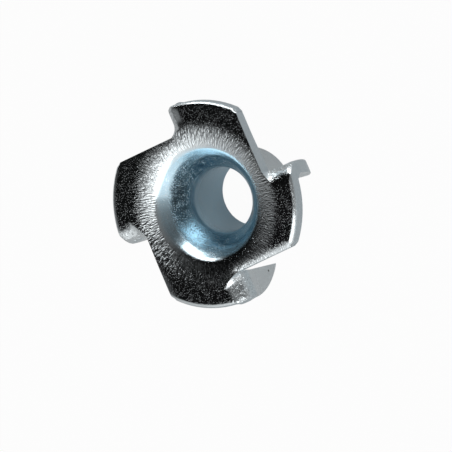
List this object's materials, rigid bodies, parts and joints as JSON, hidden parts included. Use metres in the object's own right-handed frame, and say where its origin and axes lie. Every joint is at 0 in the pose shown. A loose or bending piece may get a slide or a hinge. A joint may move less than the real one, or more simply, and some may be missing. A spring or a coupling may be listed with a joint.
{
  "type": "tee nut",
  "caption": "Sheet-metal tee nut: a round flange with a flared mouth and plain barrel, and prongs lanced and bent down from its rim to bite into wood.",
  "frame": {"origin": "centre of the barrel's end, on the axis of the bore; the part stands on this end", "axes": "+Z along the barrel's axis, from its end to the flange face"},
  "size_m": [0.022, 0.022, 0.0112],
  "materials": {
    "tee_nut": "bright zinc-plated steel, near mirror-smooth where the sheet was rolled, with fine radial stretch marks round the mouth and matte grey sheared edges"
  },
  "bodies": {
    "root": {"tee_nut": "tee_nut"}
  },
  "joints": []
}
